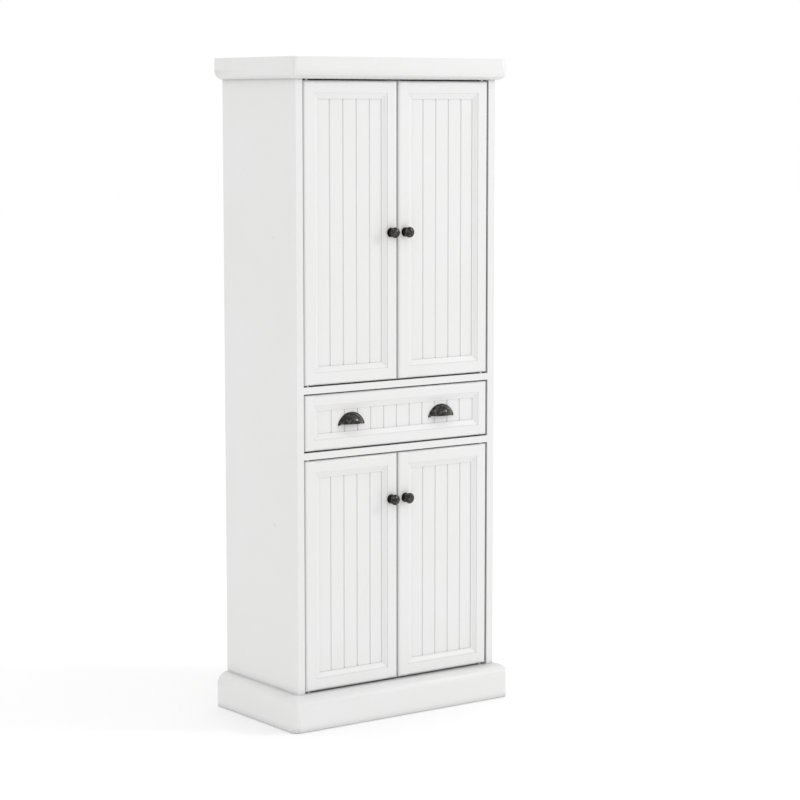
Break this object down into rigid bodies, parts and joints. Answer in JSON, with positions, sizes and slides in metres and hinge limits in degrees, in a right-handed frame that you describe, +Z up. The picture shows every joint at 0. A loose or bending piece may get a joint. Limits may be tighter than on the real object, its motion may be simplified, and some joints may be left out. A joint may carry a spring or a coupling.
{
  "type": "pantry cabinet",
  "caption": "Tall white free-standing pantry cabinet with beadboard doors above and below a drawer, rounded crown and plinth, dark knobs and cup pulls.",
  "frame": {"origin": "centre of the footprint, on the floor under the glides", "axes": "+X to the cabinet's right as seen from the front, -Y out of the doors, +Z up"},
  "size_m": [0.74, 0.398, 1.829],
  "materials": {
    "white_paint": "satin white paint on wood",
    "interior_paint": "smooth white coated board",
    "dark_hardware": "dark antiqued pewter, satin",
    "steel": "zinc plated",
    "plastic": "moulded, matt"
  },
  "bodies": {
    "cabinet": {"crown_front": "white_paint", "crown_left": "white_paint", "crown_right": "white_paint", "top_cover": "white_paint", "top_panel": "interior_paint", "left_side_panel": "white_paint", "right_side_panel": "white_paint", "upper_deck": "white_paint", "drawer_deck": "white_paint", "bottom_panel": "interior_paint", "upper_back_panel": "interior_paint", "lower_back_panel": "interior_paint", "back_nails": "steel", "fixed_shelves": "interior_paint", "adjustable_shelves": "interior_paint", "shelf_pins": "steel", "base_front": "white_paint", "base_left": "white_paint", "base_right": "white_paint", "floor_glides": "plastic", "wall_rail": "interior_paint", "magnetic_catches": "plastic", "pivot_bushes": "plastic", "screw_caps": "plastic", "slide_runners": "steel"},
    "drawer": {"drawer_stiles": "white_paint", "drawer_rails": "white_paint", "drawer_panel": "white_paint", "drawer_sides": "interior_paint", "drawer_ends": "interior_paint", "drawer_bottom": "interior_paint", "drawer_slides": "steel", "left_cup_pull": "dark_hardware", "right_cup_pull": "dark_hardware"},
    "slide_middles": {"slide_middles": "steel"},
    "upper_left_door": {"upper_left_stiles": "white_paint", "upper_left_rails": "white_paint", "upper_left_panel": "white_paint", "upper_left_knob": "dark_hardware", "upper_left_pivots": "steel", "upper_left_strike": "steel"},
    "upper_right_door": {"upper_right_stiles": "white_paint", "upper_right_rails": "white_paint", "upper_right_panel": "white_paint", "upper_right_knob": "dark_hardware", "upper_right_pivots": "steel", "upper_right_strike": "steel"},
    "lower_left_door": {"lower_left_stiles": "white_paint", "lower_left_rails": "white_paint", "lower_left_panel": "white_paint", "lower_left_knob": "dark_hardware", "lower_left_pivots": "steel", "lower_left_strike": "steel"},
    "lower_right_door": {"lower_right_stiles": "white_paint", "lower_right_rails": "white_paint", "lower_right_panel": "white_paint", "lower_right_knob": "dark_hardware", "lower_right_pivots": "steel", "lower_right_strike": "steel"}
  },
  "joints": [
    {"name": "upper_left_door_hinge", "type": "hinge", "parent": "cabinet", "child": "upper_left_door", "pos_m": [-0.297, -0.156, 1.3565], "axis": [0, 0, -1], "range_deg": [0, 110]},
    {"name": "upper_right_door_hinge", "type": "hinge", "parent": "cabinet", "child": "upper_right_door", "pos_m": [0.297, -0.156, 1.3565], "axis": [0, 0, 1], "range_deg": [0, 110]},
    {"name": "lower_left_door_hinge", "type": "hinge", "parent": "cabinet", "child": "lower_left_door", "pos_m": [-0.297, -0.156, 0.42125], "axis": [0, 0, -1], "range_deg": [0, 110]},
    {"name": "lower_right_door_hinge", "type": "hinge", "parent": "cabinet", "child": "lower_right_door", "pos_m": [0.297, -0.156, 0.42125], "axis": [0, 0, 1], "range_deg": [0, 110]},
    {"name": "drawer_slide", "type": "slide", "parent": "cabinet", "child": "drawer", "axis": [0, -1, 0], "range_m": [0, 0.28]},
    {"name": "middle_slide", "type": "slide", "parent": "cabinet", "child": "slide_middles", "axis": [0, -1, 0], "range_m": [0, 0.14]}
  ],
  "couplings": [
    {"joint": "middle_slide", "follows": "drawer_slide", "ratio": 0.5}
  ]
}
